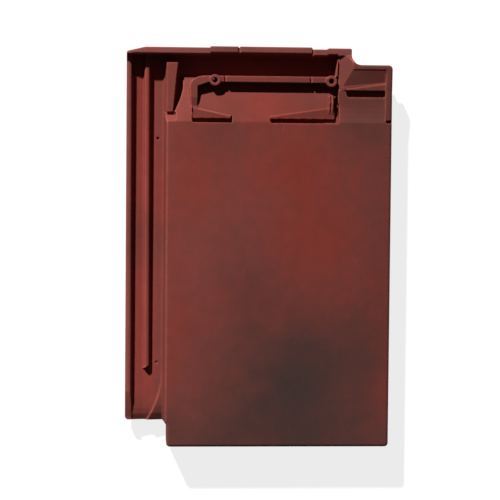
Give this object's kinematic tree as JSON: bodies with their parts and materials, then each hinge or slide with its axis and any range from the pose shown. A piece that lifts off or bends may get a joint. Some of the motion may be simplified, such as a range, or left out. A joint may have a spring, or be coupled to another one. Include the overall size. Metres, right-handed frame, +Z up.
{
  "type": "interlocking roof tile",
  "caption": "Flat interlocking clay roof tile with a smooth weather panel, side gutter, raised head rim, nail rib with nail holes, nibs and underside interlock rib.",
  "frame": {"origin": "centre of the tile's bounding box, on the level floor that it lies on", "axes": "+Y along the tile from tail to head, +X across it from the gutter side to the lap side, +Z up out of the weather face"},
  "size_m": [0.298, 0.45, 0.0368],
  "materials": {
    "fired_clay": "satin engobe over fired clay, flamed dark in patches"
  },
  "bodies": {
    "root": {"roof_tile": "fired_clay"}
  },
  "joints": []
}
